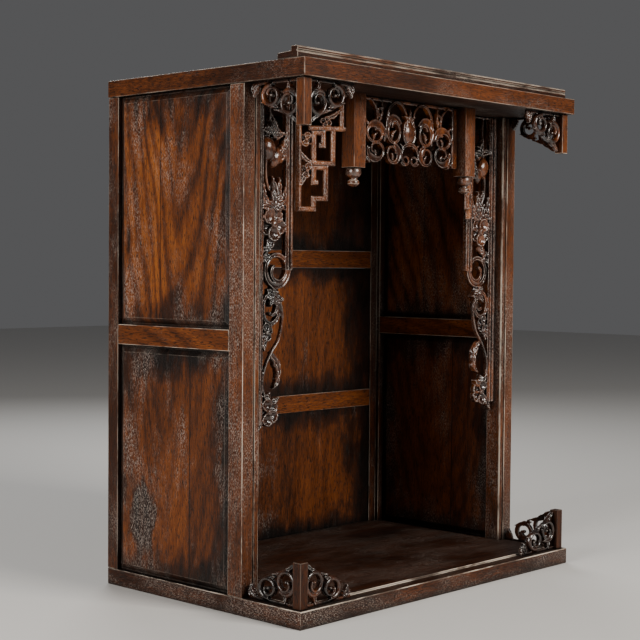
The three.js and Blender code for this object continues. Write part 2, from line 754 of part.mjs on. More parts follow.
// Bars of the key pattern, from the drop (u) and down from the roof (v), with small flowers in its corners.
function fret() {
  const bar = fretBar;
  const end = fretLength + bar;
  const u = (share) => share * fretLength;
  const v = (share) => share * fretHeight;
  const upright = (a, v0, v1) => prism(rectangle(a, v0, a + bar, v1), 0, fretThickness);
  const level = (b, u0, u1) => prism(rectangle(u0, b, u1, b + bar), 0, fretThickness);
  const blossom = (a, b, reach) => flower([u(a), v(b)], reach * bar, fretThickness * 1.05, 4);
  const frond = (base, tip) => (
    leaf([u(base[0]), v(base[1])], [u(tip[0]), v(tip[1])], bar * 0.6, fretThickness, 0.12)
  );
  const hook = bar * 1.5;
  const topRail = v(0.285);
  const inner = u(0.33);
  const upperFoot = v(0.575);
  const lowerHead = upperFoot + bar * 0.9;
  const step = v(0.87);
  const foot = v(1) - bar;
  const upperRight = u(0.74);
  const lowerRight = u(0.59);
  return joined([
    upright(-bar, 0, v(1)),
    upright(0, 0, v(1)),
    level(0, 0, end),
    level(topRail, u(0.27), end),
    upright(u(0.93), 0, topRail + bar),
    upright(inner, topRail + bar * 0.9, upperFoot + bar),
    level(topRail + bar * 0.9, inner, u(0.53) + bar),
    upright(u(0.53), topRail + bar, topRail + bar * 4.2),
    level(topRail + bar * 3.4, u(0.53) - hook + bar, u(0.53) + bar),
    level(upperFoot, inner, upperRight + bar),
    upright(upperRight, topRail, upperFoot + bar),
    level(lowerHead, inner, lowerRight + bar),
    upright(inner, lowerHead, lowerHead + bar * 3.8),
    level(lowerHead + bar * 3, inner, inner + hook),
    upright(lowerRight, lowerHead, step + bar),
    level(step, inner, lowerRight + bar),
    upright(inner, step, v(1)),
    level(foot, 0, inner + bar),
    blossom(0.22, 0.4, 1.45),
    frond([0.08, 0.5], [0.4, 0.6]),
    blossom(0.24, 0.66, 1.5),
    frond([0.24, 0.7], [0.1, 0.8]),
    blossom(0.64, 0.25, 1.15),
    frond([0.64, 0.22], [0.94, 0.14]),
  ]);
}

// The bracket runs slantwise from the drop to the hanging post, and is trimmed where it meets each of them.
function keyBracket() {
  const run = fretEnd.clone().sub(fretStart).normalize();
  const along = new THREE.Vector3(run.x, run.y, 0);
  const out = new THREE.Vector3(run.y, -run.x, 0);
  const bracket = placed(fret(), plane(along, alongZ.clone().negate(), out, fretStart.x, fretStart.y, carvedTop));
  const low = roofUnder - fretHeight - 2 * fretBar;
  const dropSide = block(0, dropRight + fit, 0, cabinetDepth, low, cabinetHeight);
  const postEdge = hangingPostInset - fit;
  const postSide = block(postEdge, cabinetWidth, 0, cabinetDepth, low, cabinetHeight);
  const front = block(0, cabinetWidth, 0, hangingPostSetback, low, cabinetHeight);
  return cutBy(bracket, [dropSide, postSide, front]);
}

const cabinet = new THREE.Group();
cabinet.position.set(-cabinetWidth / 2, -cabinetDepth / 2, 0);
const group = new THREE.Group();
group.add(cabinet);

function piece(name, geometry, color) {
  const material = new THREE.MeshStandardMaterial({ color, roughness: satin, metalness: 0, flatShading: true });
  const mesh = new THREE.Mesh(onlyPositions(geometry), material);
  mesh.name = name;
  cabinet.add(mesh);
}

function pair(name, geometry, color) {
  piece(`${name}_left`, geometry, color);
  piece(`${name}_right`, mirrored(geometry), color);
}

const up = alongZ;
const down = alongZ.clone().negate();
const sideRailBottom = baseTop + sideRailLevel;
const sideRailTop = sideRailBottom + sideRailHeight;
const lowerRailTop = baseTop + backRailLevelLow + backRailHeight;
const upperRailTop = baseTop + backRailLevelHigh + backRailHeight;

piece('base_board', baseBoard(), warmWood);
piece('roof_board', roofBoard(), warmWood);
piece('crown_strip', crownStrip(), darkWood);
pair('front_post', frontPost(), warmWood);
pair('rear_post', rearPost(), warmWood);
pair('side_rail', sideRail(), warmWood);
pair('side_panel_lower', sidePanel(postBase, sideRailBottom - fit, false, true), warmWood);
pair('side_panel_upper', sidePanel(sideRailTop + fit, postTop, true, false), warmWood);
piece('back_rail_lower', backRail(backRailLevelLow), warmWood);
piece('back_rail_upper', backRail(backRailLevelHigh), warmWood);
piece('back_panel_lower', backPanel(postBase, baseTop + backRailLevelLow - fit), warmWood);
piece('back_panel_middle', backPanel(lowerRailTop + fit, baseTop + backRailLevelHigh - fit), warmWood);
piece('back_panel_upper', backPanel(upperRailTop + fit, postTop), warmWood);
pair('roof_corner_post', cornerPost(roofUnder - cornerPostLength, roofUnder - fit), warmWood);
pair('roof_front_wing', frontWing(down, carvedTop), darkWood);
pair('roof_side_wing', sideWing(down, carvedTop), darkWood);
pair('base_corner_post', cornerPost(baseTop + fit, baseTop + cornerPostLength), warmWood);
pair('base_front_wing', frontWing(up, postBase), darkWood);
pair('base_side_wing', sideWing(up, postBase), darkWood);
pair('hanging_post', hangingPost(), warmWood);
piece('carved_lintel', lintel(), darkWood);
pair('carved_drop', carvedDrop(), darkWood);
pair('key_bracket', keyBracket(), darkWood);

export default group;
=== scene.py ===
"""The looks of a household altar cabinet: stained hardwood boards with edges pale from wear and painted
highlight, and openwork carving.
"""
import math

import bpy
import numpy as np
from mathutils import Matrix, Vector


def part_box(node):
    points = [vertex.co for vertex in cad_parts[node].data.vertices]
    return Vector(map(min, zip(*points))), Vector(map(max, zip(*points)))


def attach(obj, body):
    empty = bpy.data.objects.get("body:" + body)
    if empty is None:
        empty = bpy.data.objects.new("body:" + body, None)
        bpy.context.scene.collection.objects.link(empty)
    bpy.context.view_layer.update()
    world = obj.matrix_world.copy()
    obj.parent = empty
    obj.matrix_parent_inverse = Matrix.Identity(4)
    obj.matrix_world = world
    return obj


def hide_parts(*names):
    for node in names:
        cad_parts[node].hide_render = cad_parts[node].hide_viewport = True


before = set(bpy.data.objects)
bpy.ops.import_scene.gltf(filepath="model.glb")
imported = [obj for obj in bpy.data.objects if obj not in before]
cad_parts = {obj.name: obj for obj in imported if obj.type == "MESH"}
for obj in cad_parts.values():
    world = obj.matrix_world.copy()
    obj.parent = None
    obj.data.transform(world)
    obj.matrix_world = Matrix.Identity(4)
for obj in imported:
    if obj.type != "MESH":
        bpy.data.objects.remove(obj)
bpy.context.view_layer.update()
MM = 0.001
RIGHT = Vector((1, 0, 0))
BACK = Vector((0, 1, 0))
UP = Vector((0, 0, 1))

# Camera, fitted to the corners of the cabinet in the photograph, in metres, degrees and millimetres of lens
CAMERA_PLACE = (-1.3288, -1.1974, 0.3812)
CAMERA_YAW = 43.165
CAMERA_PITCH = -2.115
CAMERA_ROLL = 0.464
CAMERA_LENS = 81.26
SENSOR = 36.0

# Wood tones, linear
NIGHT = (0.005, 0.0026, 0.0018)
UMBER = (0.036, 0.0098, 0.0026)
CHESTNUT = (0.132, 0.034, 0.0058)
AMBER = (0.29, 0.088, 0.013)
WAX = (0.43, 0.365, 0.32)
# CREAM pales the boards' edges and ASH the carving's rims: partly wear and wax, partly painted highlight
CREAM = (0.74, 0.64, 0.53)
ASH = (0.52, 0.47, 0.43)
TONES = ((0.0, NIGHT), (0.35, UMBER), (0.65, CHESTNUT), (1.0, AMBER))

# How much darker the stain is on end grain, and the painted shade on undersides
END_GRAIN = 0.05
UNDERSIDE_PAINTED_SHADE = 0.3

# Growth rings across a metre of board
RINGS = 62.0

# Rays of the occlusion that paints shade into corners and recesses
OCCLUSION_RAYS = 6

# A half size, in metres, so large that its axis doesn't count
ALL_THROUGH = 10.0

# The waxed knot low in the left side, as its centre and half size, in metres
KNOT = ((-0.24, 0.1, 0.088), (ALL_THROUGH, 0.028, 0.046))

# Eased edges, in millimetres
BASE_EASE = 1.5
BOARD_EASE = 0.9
POST_EASE = 0.7
PANEL_EASE = 0.5

# What is welded, in millimetres, and what counts as flat and as an edge, in degrees
WELD = 0.01
FLAT = 0.5
EDGE = 28

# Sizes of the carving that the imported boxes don't give, in millimetres
BACK_LEAF = 0.4
BACK_RAIL = 0.8
WING_DROP = 48.0
WING_THICKNESS = 6.0
WING_RAIL = 2.9
WING_STROKE = 3.2
LINTEL_HEIGHT = 77.0
LINTEL_THICKNESS = 7.0
LINTEL_RAIL = 4.5
LINTEL_STILE = 13.0
LINTEL_BEAD = 4.0
DROP_LENGTH = 387.0
DROP_THICKNESS = 9.0
OUTER_STRIP = 14.5
OPENWORK = 35.5
INNER_STRIP = 12.0
INNER_STRIP_LENGTH = 0.52 * DROP_LENGTH
FRET_BAR = 5.6
FRET_THICKNESS = 6.0
FRET_HEIGHT = 135.0
PENDANT_LENGTH = 22.0
PENDANT_RADIUS = 9.0
PENDANT_OVERLAP = 0.5

# Where the pods lie in the drop, as shares of the openwork's width and of the drop's length
PODS_ACROSS = 0.7
PODS_DOWN = (0.135, 0.21)

# Faces round the pendant and down it
AROUND = 40
LEVELS = 44

# Voxels of the remeshed carving, in millimetres, which keep all of it under a million triangles
WING_VOXEL = 0.6
LINTEL_VOXEL = 0.78
DROP_VOXEL = 0.85
FRET_VOXEL = 0.65


# Materials


class Graph:
    """A material's node tree, with short calls for the nodes that it is made of."""

    def __init__(self, name, wrap=None):
        """wrap is the axis of the grain on the ends of a board that shows its grain there too."""
        self.material = bpy.data.materials.new(name)
        self.material.use_nodes = True
        self.tree = self.material.node_tree
        self.shader = self.tree.nodes["Principled BSDF"]
        self.wrap = wrap
        normal = self.node("ShaderNodeNewGeometry").outputs["True Normal"]
        self.facing = self.node("ShaderNodeSeparateXYZ", {0: normal}).outputs

    def feed(self, socket, value):
        if isinstance(value, bpy.types.NodeSocket):
            self.tree.links.new(value, socket)
        elif isinstance(value, tuple) and len(value) == 3 and socket.type == "RGBA":
            socket.default_value = (*value, 1.0)
        else:
            socket.default_value = value

    def node(self, kind, inputs=None, **settings):
        made = self.tree.nodes.new(kind)
        for key, value in settings.items():
            setattr(made, key, value)
        for key, value in (inputs or {}).items():
            self.feed(made.inputs[key], value)
        return made

    def math(self, operation, *values):
        return self.node("ShaderNodeMath", dict(enumerate(values)), operation=operation).outputs[0]

    def step(self, value, low, high, start=0.0, end=1.0):
        """start below low, end above high, and a soft change between them."""
        inputs = {"Value": value, "From Min": low, "From Max": high, "To Min": start, "To Max": end}
        return self.node("ShaderNodeMapRange", inputs, interpolation_type="SMOOTHSTEP").outputs[0]

    def mix(self, share, first, second, blend="MIX"):
        inputs = {0: share, 6: first, 7: second}
        return self.node("ShaderNodeMix", inputs, data_type="RGBA", blend_type=blend).outputs[2]

    def shaded(self, color, share):
        """The colour times a grey value."""
        grey = self.node("ShaderNodeCombineXYZ", {0: share, 1: share, 2: share}).outputs[0]
        return self.mix(1.0, color, grey, "MULTIPLY")

    def coordinates(self):
        return self.node("ShaderNodeTexCoord").outputs["Object"]

    def grain(self, along, stretch, seed):
        """Object coordinates drawn out along the grain, and shifted so that no two boards match."""
        drawn = [self.drawn_out(axis, stretch, seed) for axis in (along, self.wrap) if axis]
        if len(drawn) == 1:
            return drawn[0]
        inputs = {0: self.end_face(along), 4: drawn[0], 5: drawn[1]}
        return self.node("ShaderNodeMix", inputs, data_type="VECTOR").outputs[1]

    def drawn_out(self, axis, stretch, seed):
        scale = [1.0, 1.0, 1.0]
        scale["XYZ".index(axis)] = stretch
        mapping = self.node("ShaderNodeMapping", {"Vector": self.coordinates()})
        mapping.inputs["Location"].default_value = (0.37 * seed, 0.53 * seed, 0.71 * seed)
        mapping.inputs["Scale"].default_value = scale
        return mapping.outputs[0]

    def within(self, centre, half):
        """Object coordinates that are 0 at a box's centre and 1 at its half size."""
        scale = [1.0 / h for h in half]
        mapping = self.node("ShaderNodeMapping", {"Vector": self.coordinates()})
        mapping.inputs["Location"].default_value = [-c * s for c, s in zip(centre, scale)]
        mapping.inputs["Scale"].default_value = scale
        return mapping.outputs[0]

    def end_face(self, along):
        """1 on the faces that the grain runs into."""
        return self.step(self.math("ABSOLUTE", self.facing["XYZ".index(along)]), 0.6, 0.9)

    def noise(self, vector, scale, detail=3.0, roughness=0.55):
        inputs = {"Vector": vector, "Scale": scale, "Detail": detail, "Roughness": roughness}
        return self.node("ShaderNodeTexNoise", inputs).outputs["Fac"]

    def ramp(self, value, stops):
        made = self.node("ShaderNodeValToRGB", {"Fac": value})
        elements = made.color_ramp.elements
        for element, (place, color) in zip(elements, (stops[0], stops[-1])):
            element.position = place
            element.color = (*color, 1.0)
        for place, color in stops[1:-1]:
            elements.new(place).color = (*color, 1.0)
        return made.outputs["Color"]

    def sum(self, *terms):
        total = terms[0]
        for term in terms[1:]:
            total = self.math("ADD", total, term)
        return total

    def scaled(self, value, share, middle=0.0):
        return self.math("MULTIPLY", self.math("SUBTRACT", value, middle), share)

    def occlusion(self, reach, low, high, darkest):
        """Painted shade: dark in the corners and recesses that are narrower than reach."""
        made = self.node("ShaderNodeAmbientOcclusion", {"Distance": reach}, samples=OCCLUSION_RAYS)
        return self.step(made.outputs["AO"], low, high, darkest, 1.0)


def figure(graph, along, across, seed, middle, pull):
    """Growth rings of a plain-sawn board: faint V lines along the grain about a middle line, from 0 to 1."""
    parts = graph.node("ShaderNodeSeparateXYZ", {0: graph.coordinates()}).outputs
    wander = graph.noise(graph.grain(along, 0.3, seed), 7.0, 2.0)
    side = graph.sum(parts["XYZ".index(across)], graph.scaled(wander, 0.1, 0.5), -middle)
    bow = graph.math("SQRT", graph.sum(graph.math("POWER", side, 2.0), 0.0005))
    waver = graph.noise(graph.grain(along, 0.15, seed + 3), 24.0, 3.0)
    drift = graph.scaled(parts["XYZ".index(along)], pull)
    ring = graph.math("FRACT", graph.scaled(graph.sum(bow, drift, graph.scaled(waver, 0.03)), RINGS))
    return graph.step(graph.math("ABSOLUTE", graph.scaled(ring, 2.0, 0.5)), 0.25, 1.0)


def glow_mask(graph, centre, half, seed):
    """Painted shade at a panel's edges: 0 in its middle and 1 at its edges, with a wandering border."""
    parts = graph.node("ShaderNodeSeparateXYZ", {0: graph.within(centre, half)}).outputs
    reach = 0.0
    for part in parts:
        reach = graph.math("MAXIMUM", reach, graph.math("ABSOLUTE", part))
    wander = graph.noise(graph.grain("Z", 0.6, seed), 26.0, 4.0, 0.6)
    return graph.step(graph.sum(reach, graph.scaled(wander, 0.9, 0.5)), 0.66, 1.02)


def knot_mask(graph, centre, half):
    """1 in the middle of a knot, given as its centre and half size, and 0 outside it."""
    place = graph.within(centre, half)
    length = graph.node("ShaderNodeVectorMath", {0: place}, operation="LENGTH").outputs["Value"]
    wander = graph.noise(graph.grain("Z", 0.4, 2), 90.0, 3.0)
    return graph.step(graph.sum(length, graph.scaled(wander, 0.9, 0.5)), 0.65, 1.0, 1.0, 0.0)


def glued_joint(graph, across, place):
    """Two boards side by side: a slightly lighter one, a dark line and a slightly darker one."""
    parts = graph.node("ShaderNodeSeparateXYZ", {0: graph.coordinates()}).outputs
    offset = graph.math("SUBTRACT", parts["XYZ".index(across)], place)
    line = graph.step(graph.math("ABSOLUTE", offset), 0.0004, 0.0014, -0.3, 0.0)
    return graph.sum(line, graph.step(offset, -0.0004, 0.0004, -0.035, 0.05))


def wood(name, along, across, seed, tone=0.6, middle=0.0, pull=-0.2, rings=0.05, pores=0.5, edge=0.0,
         glow=None, joint=None, knot=None, top=0.0, wrap=None, worn=0.0, worn_side=0.7):
    """Open-grained stained hardwood, with dark pores and pale wax left in some of them.

    along is the axis of the grain. across is the axis over its figure, which lies about middle and is drawn
    out by pull. tone goes from 0, dark, to 1, and pores is the share of wax. rings and edge say how much
    darker the growth rings and a panel's edges are; the darker edges are painted shade. top changes faces
    that look up with painted shade. worn is how pale the edges get with wear and painted
    highlight, and worn_side its share on faces that don't look up."""
    graph = Graph(name, wrap)
    broad = graph.noise(graph.grain(along, 0.35, seed), 13.0, 4.0, 0.6)
    streaks = graph.noise(graph.grain(along, 0.05, seed), 130.0, 4.0, 0.62)
    fibres = graph.noise(graph.grain(along, 0.1, seed + 1), 800.0, 3.0, 0.6)
    value = graph.sum(tone, graph.scaled(broad, 0.75, 0.5), graph.scaled(streaks, 0.4, 0.5),
                      graph.scaled(fibres, 0.65, 0.5))
    if rings:
        value = graph.sum(value, graph.scaled(figure(graph, along, across, seed, middle, pull), -rings))
    # Painted shade darkens a panel towards its edges
    if glow:
        value = graph.sum(value, graph.scaled(glow_mask(graph, *glow, seed), -edge))
    if joint is not None:
        value = graph.sum(value, glued_joint(graph, across, joint))
    if knot:
        knotted = knot_mask(graph, *knot)
        value = graph.sum(value, graph.scaled(knotted, -0.45))
    # End grain takes more stain; faces looking down, and up where top is set, get painted shade
    value = graph.sum(value, graph.scaled(graph.end_face(along), -END_GRAIN),
                      graph.step(graph.facing[2], -0.9, -0.6, -UNDERSIDE_PAINTED_SHADE, 0.0),
                      graph.step(graph.facing[2], 0.6, 0.9, 0.0, top))
    color = graph.ramp(value, TONES)
    pore = graph.step(graph.noise(graph.grain(along, 0.16, seed + 5), 900.0, 2.0, 0.5), 0.54, 0.64)
    color = graph.mix(graph.scaled(pore, 0.75), color, NIGHT)
    speck = graph.step(graph.noise(graph.grain(along, 0.2, seed + 7), 1900.0, 1.0, 0.5), 0.56, 0.62)
    patch = graph.step(graph.noise(graph.grain(along, 0.4, seed + 9), 20.0, 4.0, 0.65), 0.72 - 0.45 * pores,
                       0.86 - 0.3 * pores)
    if knot:
        patch = graph.math("MAXIMUM", patch, knotted)
    # With that painted shade on faces that look up, less wax shows on them
    if top:
        patch = graph.math("MULTIPLY", patch, graph.step(graph.facing[2], 0.6, 0.9, 1.0, 0.4))
    wax = graph.scaled(graph.math("MULTIPLY", speck, patch), 0.24 + 0.62 * pores)
    color = graph.mix(wax, color, WAX)
    # Pale edges: wear, and painted highlight that is strongest on edges that look up
    if worn:
        rub = graph.noise(graph.grain(along, 0.2, seed + 11), 70.0, 4.0, 0.65)
        upward = graph.step(graph.facing[2], 0.1, 0.6, worn_side, 1.0)
        share = graph.math("MULTIPLY", graph.step(rub, 0.4, 0.58, 0.12 * worn, worn), upward)
        color = graph.mix(share, color, CREAM)
    # Painted shade in corners and recesses
    color = graph.shaded(color, graph.occlusion(0.016, 0.3, 0.95, 0.12))
    graph.feed(graph.shader.inputs["Base Color"], color)
    graph.feed(graph.shader.inputs["Roughness"], graph.sum(graph.step(streaks, 0.3, 0.7, 0.38, 0.52), wax))
    graph.feed(graph.shader.inputs["Specular IOR Level"], 0.2)
    height = graph.sum(graph.scaled(fibres, 0.5), graph.scaled(pore, -0.9), graph.scaled(speck, -0.3))
    bump = graph.node("ShaderNodeBump", {"Height": height, "Strength": 0.4, "Distance": 0.0006})
    graph.feed(graph.shader.inputs["Normal"], bump.outputs[0])
    return graph.material


def carved_wood(name, seed, depth, rim, haze):
    """Waxed carving: near black with painted shade in its recesses, amber on some faces, and pale along its
    edges, from rubbing and painted highlight.

    depth is the tone of the stain, rim the strength of the pale rims, which are partly wear and partly
    painted highlight, and haze the wax on the faces."""
    graph = Graph(name)
    grain = graph.grain("Z", 0.4, seed)
    tone = graph.noise(grain, 38.0, 4.0, 0.65)
    fine = graph.noise(graph.grain("Z", 0.3, seed + 2), 900.0, 3.0, 0.6)
    value = graph.sum(depth, graph.scaled(tone, 2.2, 0.5), graph.scaled(fine, 0.6, 0.5))
    color = graph.ramp(value, TONES)
    pointed = graph.node("ShaderNodeNewGeometry").outputs["Pointiness"]
    # Pale rims on pointed edges: partly wear, partly painted highlight
    broken = graph.step(graph.noise(grain, 160.0, 4.0, 0.65), 0.42, 0.62, 0.12, 1.0)
    rubbed_and_highlit_edge = graph.math("MULTIPLY", graph.step(pointed, 0.51, 0.57), broken)
    speck = graph.step(graph.noise(graph.grain("Z", 0.35, seed + 4), 1100.0, 2.0, 0.5), 0.52, 0.62)
    smooth = graph.step(pointed, 0.485, 0.51)
    film = graph.scaled(graph.math("MULTIPLY", speck, smooth), haze)
    wax = graph.math("MAXIMUM", graph.scaled(rubbed_and_highlit_edge, rim), film)
    color = graph.mix(wax, color, ASH)
    # Painted shade in the carving's hollows: darker where it is concave and where occlusion finds corners
    color = graph.shaded(color, graph.step(pointed, 0.43, 0.5, 0.06, 1.0))
    color = graph.shaded(color, graph.occlusion(0.007, 0.35, 0.95, 0.03))
    graph.feed(graph.shader.inputs["Base Color"], color)
    graph.feed(graph.shader.inputs["Roughness"], graph.step(tone, 0.3, 0.7, 0.14, 0.26))
    graph.feed(graph.shader.inputs["Specular IOR Level"], 0.6)
    graph.feed(graph.shader.inputs["Coat Weight"], 0.25)
    graph.feed(graph.shader.inputs["Coat Roughness"], 0.08)
    bump = graph.node("ShaderNodeBump", {"Height": fine, "Strength": 0.45, "Distance": 0.0005})
    graph.feed(graph.shader.inputs["Normal"], bump.outputs[0])
    return graph.material


# Boards, posts, rails and panels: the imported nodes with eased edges


def ease_edges(piece, width):
    piece.modifiers.new("weld", "WELD").merge_threshold = WELD * MM
    flat = piece.modifiers.new("flat", "DECIMATE")
    flat.decimate_type = "DISSOLVE"
    flat.angle_limit = math.radians(FLAT)
    arris = piece.modifiers.new("arris", "BEVEL")
    arris.width = width * MM
    arris.segments = 2
    arris.angle_limit = math.radians(EDGE)
    arris.material = 1
    arris.harden_normals = True


def dress(node, ease, worn=0.85, **look):
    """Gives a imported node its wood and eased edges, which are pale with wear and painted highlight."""
    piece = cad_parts[node]
    piece.data.materials.clear()
    piece.data.materials.append(wood(f"{node}_wood", **look))
    piece.data.materials.append(wood(f"{node}_arris", worn=worn, **look))
    ease_edges(piece, ease)


def panel_glow(node):
    """A panel's middle and half size, for its painted edge shade; its thickness doesn't count."""
    low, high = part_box(node)
    half = [max((b - a) / 2, 0.0) for a, b in zip(low, high)]
    thin = min(range(3), key=lambda axis: half[axis])
    half[thin] = ALL_THROUGH
    return tuple((a + b) / 2 for a, b in zip(low, high)), tuple(half)


def dress_panel(node, across, shift, seam, **look):
    """shift leads from the panel's middle to its figure, and seam to its glued joint, if it has one."""
    glow = panel_glow(node)
    middle = glow[0]["XYZ".index(across)]
    joint = None if seam is None else middle + seam
    dress(node, PANEL_EASE, worn=0.1, along="Z", across=across, middle=middle + shift, joint=joint, glow=glow,
          **look)


def dress_boards():
    flat = dict(along="X", across="Y", wrap="Y")
    upright = dict(along="Z", across="X")
    # The base's top edges: cream from wear and painted highlight; its top faces: painted shade
    dress("base_board", BASE_EASE, worn=1.0, worn_side=0.1, seed=1, pores=0.85, tone=0.37, top=-0.16, **flat)
    dress("roof_board", BOARD_EASE, worn=0.4, seed=2, pores=0.45, tone=0.47, **flat)
    dress("crown_strip", POST_EASE, worn=0.5, seed=3, pores=0.6, tone=0.36, **flat)
    for n, side in enumerate(("left", "right")):
        seed = 10 + 20 * n
        dress(f"front_post_{side}", POST_EASE, seed=seed, pores=0.78, tone=0.51, **upright)
        dress(f"rear_post_{side}", POST_EASE, worn=0.45, seed=seed + 1, pores=0.6, tone=0.38, **upright)
        dress(f"side_rail_{side}", POST_EASE, seed=seed + 2, along="Y", across="Z", pores=0.45, tone=0.62,
              rings=0.14)
        dress_panel(f"side_panel_upper_{side}", "Y", -0.025, 0.022, seed=seed + 3, pores=0.6, tone=0.72,
                    rings=0.26, edge=0.42)
        dress_panel(f"side_panel_lower_{side}", "Y", 0.01, -0.03, seed=seed + 4, pores=0.62, tone=0.54,
                    rings=0.1, edge=0.46, knot=KNOT if side == "left" else None)
        dress(f"roof_corner_post_{side}", POST_EASE, seed=seed + 5, pores=0.3, tone=0.58, **upright)
        dress(f"base_corner_post_{side}", POST_EASE, worn=0.12, seed=seed + 6, pores=0.3, tone=0.32,
              **upright)
    # The upper back panel's darker tone is painted shade under the roof
    for n, (level, tone) in enumerate((("lower", 0.52), ("middle", 0.56), ("upper", 0.48))):
        dress_panel(f"back_panel_{level}", "X", 0.04 * n, None, seed=50 + n, pores=0.35, tone=tone, edge=0.5)
    for n, level in enumerate(("lower", "upper")):
        dress(f"back_rail_{level}", POST_EASE, worn=0.35, seed=60 + n, along="X", across="Z", pores=0.2,
              tone=0.66)


# Carving. A stroke is drawn in millimetres on a plane, u and v, and w is its height off the plane.


def mirrored_section(*left):
    """A section that is the same on both sides of its last point, which is in the middle."""
    return left + tuple((-across, up) for across, up in reversed(left[:-1]))


# A stroke's sections, as shares of its half width and of its height
RIBBON = mirrored_section((-1, 0), (-1, 0.75), (-0.86, 1), (-0.62, 0.9), (0, 0.82))
CORD = mirrored_section((-1, 0), (-1, 0.45), (-0.8, 0.78), (-0.42, 0.97), (0, 1.03))
BLADE = mirrored_section((-1, 0), (-1, 0.3), (-0.75, 0.8), (-0.4, 1), (0, 0.62))

# How a stroke's width or height changes from its start, 0, to its end, 1


def even(share):
    return 1.0


def tapering(share):
    return 1 - 0.45 * share


def swelling(share):
    return 0.9 * tapering(share) + 1.15 * math.exp(-(((share - 0.2) / 0.12) ** 2))


def leaf_shaped(share):
    return max(0.1, math.sin(math.pi * share ** 0.75))


def lobed(share):
    return leaf_shaped(share) * (0.86 + 0.28 * abs(math.sin(3.5 * math.pi * share)))


def arched(share):
    return 0.7 + 0.42 * share * (1.6 - share)


def pod_shaped(share):
    return max(0.15, math.sqrt(max(0.0, 1 - (2 * share - 1) ** 2)))


def ellipse(middle, radii, shrink, start, sweep):
    """A C-scroll or spiral: an ellipse whose radii shrink as it turns."""
    share = np.linspace(0, 1, max(24, int(abs(sweep) / 7)))
    angle = np.radians(start + sweep * share)
    scale = 1 + (shrink - 1) * share ** 3
    u = middle[0] + radii[0] * scale * np.cos(angle)
    v = middle[1] + radii[1] * scale * np.sin(angle)
    return np.stack([u, v], 1)


def through(points, count=14):
    """A centripetal curve through points."""
    p = np.asarray(points, float)
    p = np.vstack([2 * p[0] - p[1], p, 2 * p[-1] - p[-2]])
    out = []
    for n in range(1, len(p) - 2):
        row = list(p[n - 1:n + 3])
        knots = [0.0]
        for a, b in zip(row, row[1:]):
            knots.append(knots[-1] + max(1e-6, np.linalg.norm(b - a)) ** 0.5)
        t = np.linspace(knots[1], knots[2], count, endpoint=False)[:, None]
        for gap, first in ((1, 0), (2, 0), (1, 1)):
            row = [
                ((knots[k + first + gap] - t) * row[k] + (t - knots[k + first]) * row[k + 1])
                / (knots[k + first + gap] - knots[k + first])
                for k in range(len(row) - 1)
            ]
        out.append(row[0])
    out.append(p[-2:-1])
    return np.vstack(out)


